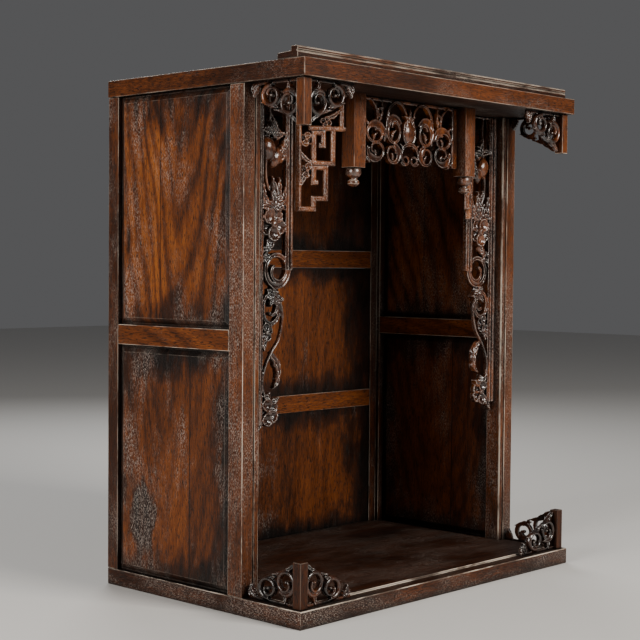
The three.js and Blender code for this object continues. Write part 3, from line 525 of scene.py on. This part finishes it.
class Carving:
    """Closed strokes that overlap, which a voxel remesh then joins into one skin."""

    def __init__(self):
        self.points = []
        self.faces = []

    def rings(self, rows):
        """A closed body over rows of points that all have the same number of points."""
        start = len(self.points)
        count = len(rows[0])
        for row in rows:
            self.points.extend(row)
        for r in range(len(rows) - 1):
            for n in range(count):
                a = start + r * count + n
                b = start + r * count + (n + 1) % count
                self.faces.append((a, b, b + count, a + count))
        self.faces.append(tuple(range(start, start + count))[::-1])
        last = start + (len(rows) - 1) * count
        self.faces.append(tuple(range(last, last + count)))

    def band(self, path, half, height, width_at=tapering, height_at=even, section=RIBBON, foot=0.0,
             veins=0.0):
        """A stroke of a section that follows a path of points and stands at foot above the plane."""
        run = np.gradient(path, axis=0)
        run /= np.linalg.norm(run, axis=1, keepdims=True) + 1e-9
        rows = []
        for n, (point, along) in enumerate(zip(path, run)):
            share = n / (len(path) - 1)
            wide = half * width_at(share)
            high = height * height_at(share)
            side = (-along[1] * wide, along[0] * wide)
            row = []
            for across, up in section:
                ripple = 1 + veins * math.cos(2 * math.pi * (5 * share - abs(across)))
                rise = foot + up * high * ripple
                row.append((point[0] + side[0] * across, point[1] + side[1] * across, rise))
            rows.append(row)
        self.rings(rows)

    def box(self, u0, v0, u1, v1, w0, w1):
        self.rings([[(u0, v0, w), (u1, v0, w), (u1, v1, w), (u0, v1, w)] for w in (w0, w1)])

    def leaf(self, base, tip, half, height, bend=0.0):
        """A veined leaf with a lobed outline; bend moves its middle sideways, as a share of its length."""
        side = ((base[1] - tip[1]) * bend, (tip[0] - base[0]) * bend)
        middle = ((base[0] + tip[0]) / 2 + side[0], (base[1] + tip[1]) / 2 + side[1])
        self.band(through([base, middle, tip]), half, height, lobed, arched, BLADE, BACK_LEAF, 0.09)

    def pod(self, base, tip, half, height):
        self.band(through([base, tip], 24), half, height, pod_shaped, pod_shaped, CORD)

    def petal(self, centre, angle, reach, breadth, height, foot):
        """A dished petal with a rolled rim and fine veins, from the flower's middle outward."""
        profile = ((1.0, 0.0), (1.0, 0.75), (0.9, 1.0), (0.74, 0.84), (0.5, 0.58), (0.25, 0.45), (0.05, 0.4))
        ahead = (math.cos(angle), math.sin(angle))
        rows = []
        for share, up in profile:
            row = []
            for n in range(24):
                turn = 2 * math.pi * n / 24
                along = reach * (0.55 + 0.5 * share * math.cos(turn))
                side = breadth * share * math.sin(turn) * (1 + 0.2 * math.cos(turn))
                vein = 1 + 0.1 * math.cos(4 * math.pi * side / breadth) if up else 0.0
                rise = foot + height * up * vein * (0.75 + 0.25 * along / reach)
                row.append((centre[0] + ahead[0] * along - ahead[1] * side,
                            centre[1] + ahead[1] * along + ahead[0] * side, rise if up else foot))
            rows.append(row)
        self.rings(rows)

    def flower(self, centre, radius, height, petals=5, turn=0.3):
        for n in range(petals):
            lift = height * 0.22 * (n % 2)
            self.petal(centre, turn + 2 * math.pi * n / petals, radius, radius * 0.5, height * 0.72, lift)
        around = np.linspace(0, 2 * math.pi, 14, endpoint=False)
        rows = []
        for share, up in ((0.24, 0.0), (0.24, 0.8), (0.18, 0.98), (0.06, 1.04)):
            reach = radius * share
            rows.append([(centre[0] + reach * math.cos(a), centre[1] + reach * math.sin(a), height * up)
                         for a in around])
        self.rings(rows)

    def reeds(self, left, width, length, thick):
        """A strip with two half-round reeds between flat edges, along v."""
        section = [(0, BACK_RAIL), (0, 0.86 * thick), (0.06, 0.86 * thick), (0.09, 0.55 * thick)]
        for start in (0.14, 0.56):
            for n in range(9):
                angle = math.pi * n / 8
                rise = thick * (0.62 + 0.38 * math.sin(angle))
                section.append((start + 0.15 * (1 - math.cos(angle)), rise))
            section.append((start + 0.35, 0.55 * thick))
        section += [(0.94, 0.86 * thick), (1, 0.86 * thick), (1, BACK_RAIL)]
        self.rings([[(left + a * width, v, w) for a, w in section] for v in (0, length)])


def finished_piece(name, skin, nodes):
    piece = bpy.data.objects.new(name, skin)
    bpy.context.scene.collection.objects.link(piece)
    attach(piece, "root")
    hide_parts(*nodes)
    return piece


def carved_piece(name, carving, plane, node, material, voxel):
    """Joins the strokes into one skin and puts it in the part's frame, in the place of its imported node."""
    rough = bpy.data.meshes.new(name)
    rough.from_pydata([tuple(c * MM for c in p) for p in carving.points], [], carving.faces)
    blank = bpy.data.objects.new(name, rough)
    bpy.context.scene.collection.objects.link(blank)
    remesh = blank.modifiers.new("skin", "REMESH")
    remesh.mode = "VOXEL"
    remesh.voxel_size = voxel * MM
    soften = blank.modifiers.new("soften", "SMOOTH")
    soften.factor = 0.5
    soften.iterations = 1
    skin = bpy.data.meshes.new_from_object(blank.evaluated_get(bpy.context.evaluated_depsgraph_get()))
    bpy.data.objects.remove(blank)
    bpy.data.meshes.remove(rough)
    skin.transform(plane)
    if plane.determinant() < 0:
        skin.flip_normals()
    keep_inside(skin, *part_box(node))
    skin.polygons.foreach_set("use_smooth", [True] * len(skin.polygons))
    skin.materials.clear()
    skin.materials.append(material)
    return finished_piece(name, skin, [node])


def keep_inside(skin, low, high):
    """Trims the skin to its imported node's box, so that it clears its neighbours."""
    places = np.empty(len(skin.vertices) * 3)
    skin.vertices.foreach_get("co", places)
    places = np.clip(places.reshape(-1, 3), np.array(low), np.array(high))
    skin.vertices.foreach_set("co", places.ravel())
    skin.update()


def mirrored_piece(name, source, node):
    """The same carving on the cabinet's other side."""
    skin = source.data.copy()
    skin.transform(Matrix.Scale(-1, 4, RIGHT))
    skin.flip_normals()
    return finished_piece(name, skin, [node])


def plane_at(u, v, w, corner):
    """A drawing plane in the part's frame: the directions of u, v and w, and its corner in metres."""
    made = Matrix((u, v, w)).transposed().to_4x4()
    made.translation = corner
    return made


def wing(length):
    """Scrollwork of a corner bracket, which steps down from the post: a ring, a C-scroll and leaves."""
    carving = Carving()

    def at(a, b):
        return a * length, b * WING_DROP

    def scroll(middle, radii, start, sweep):
        path = ellipse(at(*middle), at(*radii), 0.3, start, sweep)
        carving.band(path, WING_STROKE, WING_THICKNESS, section=CORD)

    def bud(a, b):
        carving.pod(at(a, b - 0.05), at(a, b + 0.05), 0.8 * WING_STROKE, 0.8 * WING_THICKNESS)

    def frond(base, tip, half, rise, bend):
        carving.leaf(at(*base), at(*tip), half * WING_STROKE, rise * WING_THICKNESS, bend)

    carving.box(0, 0, length, WING_RAIL, BACK_RAIL, WING_THICKNESS * 0.7)
    scroll((0.2, 0.5), (0.172, 0.262), -50, -520)
    scroll((0.575, 0.31), (0.165, 0.225), -100, 460)
    bud(0.21, 0.52)
    bud(0.575, 0.31)
    frond((0.2, 0.32), (0.2, 0.02), 1.1, 1, 0)
    frond((0.02, 0.98), (0.52, 0.64), 1.05, 0.85, -0.1)
    frond((0.42, 0.6), (0.8, 0.44), 0.95, 0.8, 0)
    frond((0.84, 0.03), (0.93, 0.33), 1.4, 0.9, -0.12)
    frond((0.9, 0.03), (0.99, 0.2), 1.1, 0.75, -0.1)
    return carving


def make_wings(material):
    for board, away in (("roof", -UP), ("base", UP)):
        for run, along, out in (("front", RIGHT, -BACK), ("side", BACK, -RIGHT)):
            name = f"{board}_{run}_wing"
            low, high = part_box(f"{name}_left")
            level = high.z if board == "roof" else low.z
            corner = Vector((low.x, high.y, level) if run == "front" else (high.x, low.y, level))
            length = (high - low).dot(along) / MM
            plane = plane_at(along, away, out, corner)
            left = carved_piece(f"{name}_left_carving", wing(length), plane, f"{name}_left", material,
                                WING_VOXEL)
            mirrored_piece(f"{name}_right_carving", left, f"{name}_right")


def lintel_half(carving, span, side):
    """The scrolls and fronds on one side of the lintel's middle; side is -1 or 1."""
    thick = LINTEL_THICKNESS
    line = span * 0.0135

    def at(a, b):
        return (0.5 + side * a) * span, b * LINTEL_HEIGHT

    def scroll(middle, radii, shrink, start, sweep, width, width_at=swelling):
        reach = (side * radii[0] * span, radii[1] * LINTEL_HEIGHT)
        carving.band(ellipse(at(*middle), reach, shrink, start, sweep), width * line, thick, width_at)

    def frond(base, tip, width, rise, bend):
        carving.leaf(at(*base), at(*tip), width * line, rise * thick, bend * side)

    scroll((0.155, 0.477), (0.07, 0.2), 0.35, -150, 480, 1)
    scroll((0.125, 0.345), (0.1, 0.3), 0.95, 15, -215, 0.8, tapering)
    scroll((0.335, 0.548), (0.083, 0.15), 0.35, -190, 470, 0.95)
    scroll((0.331, 0.795), (0.076, 0.14), 0.35, -20, 430, 0.9)
    scroll((0.167, 0.825), (0.06, 0.145), 0.4, -100, -440, 0.85)
    scroll((0, 0.83), (0.083, 0.165), 1, -95, 155, 0.88, tapering)
    scroll((0.048, 0.915), (0.036, 0.07), 0.5, 20, 330, 0.76, tapering)
    scroll((0.29, 0.22), (0.024, 0.06), 0.5, 90, -330, 0.72, tapering)
    frond((0.17, 0.63), (0.13, 0.46), 1.0, 0.85, 0.2)
    frond((0.345, 0.67), (0.31, 0.53), 0.95, 0.85, 0.2)
    frond((0.33, 0.9), (0.345, 0.78), 0.95, 0.8, -0.2)
    frond((0.16, 0.93), (0.18, 0.81), 0.9, 0.8, -0.2)
    frond((0.03, 0.72), (0.1, 0.66), 0.85, 0.9, 0.1)
    frond((0.235, 0.66), (0.25, 0.5), 0.9, 0.75, -0.1)
    frond((0.32, 0.43), (0.39, 0.03), 1.05, 1, -0.2)
    frond((0.3, 0.42), (0.28, 0.03), 0.95, 1, -0.08)
    frond((0.37, 0.44), (0.44, 0.3), 0.95, 0.8, 0.1)
    frond((0.43, 0.9), (0.39, 1), 1.2, 1, 0.1)
    frond((0.008, 0.35), (0.066, 0.235), 1.05, 0.96, -0.2)


def make_lintel(material):
    """A board of scrollwork between beaded stiles, about a pod with a rim."""
    low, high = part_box("carved_lintel")
    span = (high.x - low.x) / MM
    thick = LINTEL_THICKNESS
    field = thick * 0.75
    foot = LINTEL_HEIGHT * 0.98
    carving = Carving()
    carving.box(0, 0, span, LINTEL_RAIL, BACK_RAIL, field)
    for edge, inward in ((0, 1), (span, -1)):
        inner = edge + inward * LINTEL_STILE
        bead = inner - inward * LINTEL_BEAD
        carving.box(min(edge, inner), 0, max(edge, inner), foot, BACK_RAIL, field)
        carving.box(min(bead, inner), 0, max(bead, inner), foot, BACK_RAIL, thick)
    middle = span / 2
    carving.pod((middle, 0.28 * LINTEL_HEIGHT), (middle, 0.69 * LINTEL_HEIGHT), span * 0.056, thick * 1.13)
    rim = ellipse((middle, 0.485 * LINTEL_HEIGHT), (span * 0.06, 0.21 * LINTEL_HEIGHT), 1, 0, 360)
    carving.band(rim, 1.3, thick * 0.8, even, even, CORD)
    carving.leaf((middle, 0.34 * LINTEL_HEIGHT), (middle, 0.12 * LINTEL_HEIGHT), 3, thick)
    for side in (-1, 1):
        lintel_half(carving, span, side)
    plane = plane_at(RIGHT, -UP, -BACK, Vector((low.x, high.y, high.z)))
    carved_piece("lintel_carving", carving, plane, "carved_lintel", material, LINTEL_VOXEL)


def drop():
    """Flowers, leaves and spirals between two reeded strips, drawn right from the outer strip and down."""
    carving = Carving()
    thick = DROP_THICKNESS
    left = OUTER_STRIP
    w = OPENWORK
    right = left + w + INNER_STRIP

    def at(a, b):
        return left + a * w, b * DROP_LENGTH

    def frond(base, tip, half, rise, bend):
        carving.leaf(at(*base), at(*tip), half * w, rise * thick, bend)

    def spiral(middle, radii, start, sweep, half, rise):
        carving.band(ellipse(middle, radii, 0.3, start, sweep), half * w, rise * thick)

    def spray(middle, reach, start, sweep, count, half=0.17):
        """Leaves fanned about a point from start by sweep degrees, every other one smaller and lower."""
        u, v = at(*middle)
        for n in range(count):
            angle = math.radians(start + sweep * n / (count - 1))
            share = 1 - 0.2 * (n % 2)
            tip = (u + reach * w * share * math.cos(angle), v + reach * w * share * math.sin(angle))
            carving.leaf((u, v), tip, half * w, thick * share, 0.15 - 0.3 * (n % 2))

    curl = (left + 0.66 * w, INNER_STRIP_LENGTH)
    curl_radius = right - INNER_STRIP / 2 - curl[0]
    vine = through([at(0.3, 0), at(0.36, 0.09), at(0.2, 0.2), at(0.21, 0.26), at(0.45, 0.32), at(0.5, 0.38),
                    at(0.25, 0.44), at(0.12, 0.5)])
    tail = through([at(0.48, 0.597), at(0.78, 0.615), at(0.88, 0.66), at(0.72, 0.72), at(0.36, 0.762),
                    at(0.08, 0.81), at(0.01, 0.85), at(0.17, 0.895)])
    carving.reeds(0, OUTER_STRIP, DROP_LENGTH * 0.965, thick)
    carving.reeds(left + w, INNER_STRIP, INNER_STRIP_LENGTH, thick)
    carving.box(0, 0, right, WING_RAIL, BACK_RAIL, thick * 0.7)
    carving.band(vine, 0.055 * w, thick * 0.6, even, even, CORD)
    frond((0.35, 0.07), (0.92, 0.13), 0.15, 0.9, 0.2)
    spray((0.42, 0.13), 0.5, 190, 160, 5)
    carving.pod(at(0.2, 0.135), at(0.4, 0.208), 0.27 * w, thick * 1.1)
    carving.pod(at(0.82, 0.165), at(0.5, 0.226), 0.2 * w, thick * 0.9)
    frond((0.72, 0.19), (0.96, 0.125), 0.14, 1, 0.15)
    frond((0.42, 0.21), (0.98, 0.15), 0.17, 0.8, 0.25)
    frond((0.45, 0.34), (0.05, 0.27), 0.16, 0.85, -0.2)
    frond((0.5, 0.335), (0.38, 0.25), 0.17, 0.95, 0.1)
    frond((0.5, 0.335), (0.7, 0.252), 0.17, 1, 0.1)
    frond((0.55, 0.34), (0.98, 0.28), 0.16, 0.85, 0.2)
    spray((0.5, 0.345), 0.6, 180, 180, 6)
    carving.flower(at(0.48, 0.388), 0.52 * w, thick * 1.1)
    for n in range(4):
        frond((0.2, 0.445 + 0.012 * n), (0.42 - 0.42 * (n % 2), 0.462 + 0.012 * n), 0.1, 0.85, 0.2)
    frond((0.4, 0.41), (0.12, 0.475), 0.17, 0.8, -0.2)
    spiral(curl, (curl_radius, 0.047 * DROP_LENGTH), -8, 600, 0.09, 0.85)
    spray((0.55, 0.602), 0.36, 10, 300, 6, 0.14)
    frond((0.25, 0.575), (0.98, 0.605), 0.2, 0.9, 0.1)
    frond((0.62, 0.568), (0.87, 0.626), 0.14, 0.78, 0.1)
    spiral(at(0.4, 0.63), (0.38 * w, 0.045 * DROP_LENGTH), -60, 540, 0.08, 0.8)
    carving.band(tail, 0.042 * w, thick * 0.5, even, even, CORD, 0.45 * thick)
    carving.flower(at(0.22, 0.7), 0.3 * w, thick * 0.9, 5, 0.9)
    frond((0.25, 0.71), (0.1, 0.755), 0.15, 0.85, 0.1)
    frond((0.4, 0.755), (0.75, 0.85), 0.16, 0.85, -0.15)
    frond((0.72, 0.81), (0.5, 0.865), 0.12, 0.8, -0.2)
    spray((0.35, 0.9), 0.4, 210, 130, 3, 0.15)
    carving.flower(at(0.33, 0.93), 0.44 * w, thick * 1.05, 5, 0.6)
    frond((0.15, 0.95), (-0.25, 0.995), 0.14, 0.8, 0.1)
    return carving


def make_drops(material, reeded, glossy):
    """The strips are paler than the openwork between them, and the pods have a smoother look."""
    low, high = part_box("carved_drop_left")
    plane = plane_at(RIGHT, -UP, -BACK, Vector((low.x, high.y, high.z)))
    left = carved_piece("drop_left_carving", drop(), plane, "carved_drop_left", material, DROP_VOXEL)
    left.data.materials.append(reeded)
    left.data.materials.append(glossy)
    inner_strip = OUTER_STRIP + OPENWORK
    for face in left.data.polygons:
        across = (face.center.x - low.x) / MM
        down = (high.z - face.center.z) / MM
        beside_pods = PODS_DOWN[0] < down / DROP_LENGTH < PODS_DOWN[1]
        if across < OUTER_STRIP or (across > inner_strip and down < INNER_STRIP_LENGTH):
            face.material_index = 1
        elif beside_pods and across < OUTER_STRIP + PODS_ACROSS * OPENWORK:
            face.material_index = 2
    mirrored_piece("drop_right_carving", left, "carved_drop_right")


def fret(length):
    """Bars of the key pattern, each with a raised bead along its middle, and small flowers in the corners."""
    carving = Carving()
    bar = FRET_BAR
    thick = FRET_THICKNESS
    inset = 0.22 * bar
    end = length + bar

    def u(share):
        return share * length

    def v(share):
        return share * FRET_HEIGHT

    def beaded(u0, v0, u1, v1):
        carving.box(u0, v0, u1, v1, 0, thick * 0.8)
        carving.box(u0 + inset, v0 + inset, u1 - inset, v1 - inset, 0, thick)

    def upright(a, v0, v1):
        beaded(a, v0, a + bar, v1)

    def level(b, u0, u1):
        beaded(u0, b, u1, b + bar)

    def blossom(a, b, reach):
        carving.flower((u(a), v(b)), reach * bar, thick * 1.05, 4)

    def frond(base, tip):
        carving.leaf((u(base[0]), v(base[1])), (u(tip[0]), v(tip[1])), bar * 0.6, thick, 0.12)

    hook = bar * 1.5
    top_rail = v(0.285)
    inner = u(0.33)
    upper_foot = v(0.575)
    lower_head = upper_foot + bar * 0.9
    step = v(0.87)
    upper_right = u(0.74)
    lower_right = u(0.59)
    beaded(-0.2 * bar, 0, 1.15 * bar, v(1))
    level(0, 0, end)
    level(top_rail, u(0.27), end)
    upright(u(0.93), 0, top_rail + bar)
    upright(inner, top_rail + bar * 0.9, upper_foot + bar)
    level(top_rail + bar * 0.9, inner, u(0.53) + bar)
    upright(u(0.53), top_rail + bar, top_rail + bar * 4.2)
    level(top_rail + bar * 3.4, u(0.53) - hook + bar, u(0.53) + bar)
    level(upper_foot, inner, upper_right + bar)
    upright(upper_right, top_rail, upper_foot + bar)
    level(lower_head, inner, lower_right + bar)
    upright(inner, lower_head, lower_head + bar * 3.8)
    level(lower_head + bar * 3, inner, inner + hook)
    upright(lower_right, lower_head, step + bar)
    level(step, inner, lower_right + bar)
    upright(inner, step, v(1))
    level(v(1) - bar, 0, inner + bar)
    blossom(0.22, 0.4, 1.45)
    frond((0.08, 0.5), (0.4, 0.6))
    blossom(0.24, 0.66, 1.5)
    frond((0.24, 0.7), (0.1, 0.8))
    blossom(0.64, 0.25, 1.15)
    frond((0.64, 0.22), (0.94, 0.14))
    return carving


def make_brackets(material):
    """The key-pattern brackets run slantwise from the drops' faces to the backs of the hanging posts."""
    drop_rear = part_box("carved_drop_left")[1].y
    post_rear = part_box("hanging_post_left")[1].y
    low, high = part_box("key_bracket_left")
    start = Vector((low.x, drop_rear - DROP_THICKNESS * MM, high.z))
    run = Vector((high.x, post_rear, high.z)) - start
    along = run.normalized()
    plane = plane_at(along, -UP, Vector((along.y, -along.x, 0)), start)
    carving = fret(run.length / MM)
    left = carved_piece("bracket_left_carving", carving, plane, "key_bracket_left", material, FRET_VOXEL)
    mirrored_piece("bracket_right_carving", left, "key_bracket_right")


# Hanging posts, each with its pendant turned in one piece


def pendant_radius(share):
    """A flattened ball, a neck and a bead, as shares of the largest radius from the top down."""
    ball = ((0, 0.62), (0.03, 0.64), (0.06, 0.86), (0.14, 0.96), (0.26, 1), (0.38, 0.95), (0.47, 0.78))
    neck = ((0.52, 0.56), (0.58, 0.47), (0.64, 0.52))
    bead = ((0.68, 0.68), (0.76, 0.76), (0.84, 0.74), (0.92, 0.58), (0.98, 0.3), (1, 0.1))
    places, radii = zip(*ball, *neck, *bead)
    return float(np.interp(share, places, radii))


def hanging_post(node, n, polish):
    """A square post and its turned pendant, which has a material of its own."""
    low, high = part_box(node)
    shoulder = low.z + PENDANT_LENGTH * MM
    square = ((low.x, low.y), (high.x, low.y), (high.x, high.y), (low.x, high.y))
    points = [(x, y, z) for z in (shoulder, high.z) for x, y in square]
    faces = [(3, 2, 1, 0), (4, 5, 6, 7)] + [(s, (s + 1) % 4, (s + 1) % 4 + 4, s + 4) for s in range(4)]
    box_faces = len(faces)
    first = len(points)
    last = first + LEVELS * AROUND
    centre = ((low.x + high.x) / 2, (low.y + high.y) / 2)
    for level in range(LEVELS + 1):
        share = level / LEVELS
        radius = PENDANT_RADIUS * pendant_radius(share) * MM
        for turn in np.linspace(0, 2 * math.pi, AROUND, endpoint=False):
            points.append((centre[0] + radius * math.cos(turn), centre[1] + radius * math.sin(turn),
                           shoulder + PENDANT_OVERLAP * MM - share * (PENDANT_LENGTH + PENDANT_OVERLAP) * MM))
    for level in range(LEVELS):
        for s in range(AROUND):
            a = first + level * AROUND + s
            b = first + level * AROUND + (s + 1) % AROUND
            faces.append((a, a + AROUND, b + AROUND, b))
    faces.append(tuple(range(first, first + AROUND)))
    faces.append(tuple(range(last, last + AROUND))[::-1])
    mesh = bpy.data.meshes.new(f"{node}_turned")
    mesh.from_pydata(points, [], faces)
    look = dict(along="Z", across="X", seed=70 + n, pores=0.6, tone=0.58)
    mesh.materials.append(wood(f"{node}_wood", **look))
    mesh.materials.append(wood(f"{node}_arris", worn=0.7, **look))
    mesh.materials.append(polish)
    for number, face in enumerate(mesh.polygons):
        face.material_index = 2 if number >= box_faces else 0
        face.use_smooth = number >= box_faces
    piece = bpy.data.objects.new(f"{node}_turned", mesh)
    bpy.context.scene.collection.objects.link(piece)
    ease_edges(piece, POST_EASE)
    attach(piece, "root")
    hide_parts(node)


# Studio


def make_stage():
    bpy.ops.mesh.primitive_plane_add(size=12)
    floor = bpy.context.object
    floor.name = "studio_floor"
    graph = Graph("studio_paper")
    graph.feed(graph.shader.inputs["Base Color"], (0.66, 0.65, 0.63))
    graph.feed(graph.shader.inputs["Roughness"], 0.85)
    floor.data.materials.append(graph.material)


def add_light(name, place, target, size, power, tint=(1.0, 1.0, 1.0)):
    """A soft square light; place, target and size are in metres and power is in watts."""
    data = bpy.data.lights.new(name, "AREA")
    data.shape = "SQUARE"
    data.size = size
    data.energy = power
    data.color = tint
    light = bpy.data.objects.new(name, data)
    light.location = place
    light.rotation_euler = (Vector(target) - Vector(place)).to_track_quat("-Z", "Y").to_euler()
    bpy.context.scene.collection.objects.link(light)


def make_lights():
    add_light("key", (0.25, -2.1, 1.3), (0, 0, 0.3), size=0.8, power=60, tint=(1.0, 0.95, 0.88))
    add_light("side", (-2.1, -0.1, 0.95), (0, 0, 0.3), size=1.0, power=38, tint=(1.0, 0.96, 0.91))
    add_light("rim", (0.9, 1.4, 1.5), (0, 0, 0.55), size=0.9, power=16)
    world = bpy.data.worlds.new("studio")
    world.use_nodes = True
    sky = world.node_tree.nodes["Background"]
    sky.inputs["Color"].default_value = (0.8, 0.8, 0.82, 1)
    sky.inputs["Strength"].default_value = 0.12
    bpy.context.scene.world = world


def make_camera():
    yaw, pitch, roll = (math.radians(a) for a in (CAMERA_YAW, CAMERA_PITCH, CAMERA_ROLL))
    ahead = Vector((math.cos(yaw) * math.cos(pitch), math.sin(yaw) * math.cos(pitch), math.sin(pitch)))
    level = ahead.cross(UP).normalized()
    upward = level.cross(ahead)
    across = level * math.cos(roll) + upward * math.sin(roll)
    upright = upward * math.cos(roll) - level * math.sin(roll)
    data = bpy.data.cameras.new("camera")
    data.sensor_width = SENSOR
    data.lens = CAMERA_LENS
    camera = bpy.data.objects.new("camera", data)
    camera.matrix_world = Matrix((across, upright, -ahead)).transposed().to_4x4()
    camera.location = CAMERA_PLACE
    bpy.context.scene.collection.objects.link(camera)
    bpy.context.scene.camera = camera


make_camera()
dress_boards()
# Each copy sets its stain tone and rim; the rims are partly painted highlight, brightest on the brackets
carved = carved_wood("carved_wood", 4, depth=0.3, rim=0.58, haze=0.12)
make_wings(carved_wood("wing_wood", 8, depth=0.24, rim=0.55, haze=0.05))
make_lintel(carved_wood("lintel_wood", 5, depth=0.4, rim=0.28, haze=0.03))
make_drops(carved, carved_wood("reed_wood", 9, depth=0.42, rim=0.66, haze=0.34),
           carved_wood("pod_wood", 7, depth=0.34, rim=0.3, haze=0.05))
make_brackets(carved_wood("bracket_wood", 6, depth=0.66, rim=0.95, haze=0.34))
for n, side in enumerate(("left", "right")):
    hanging_post(f"hanging_post_{side}", n, carved)
make_stage()
make_lights()
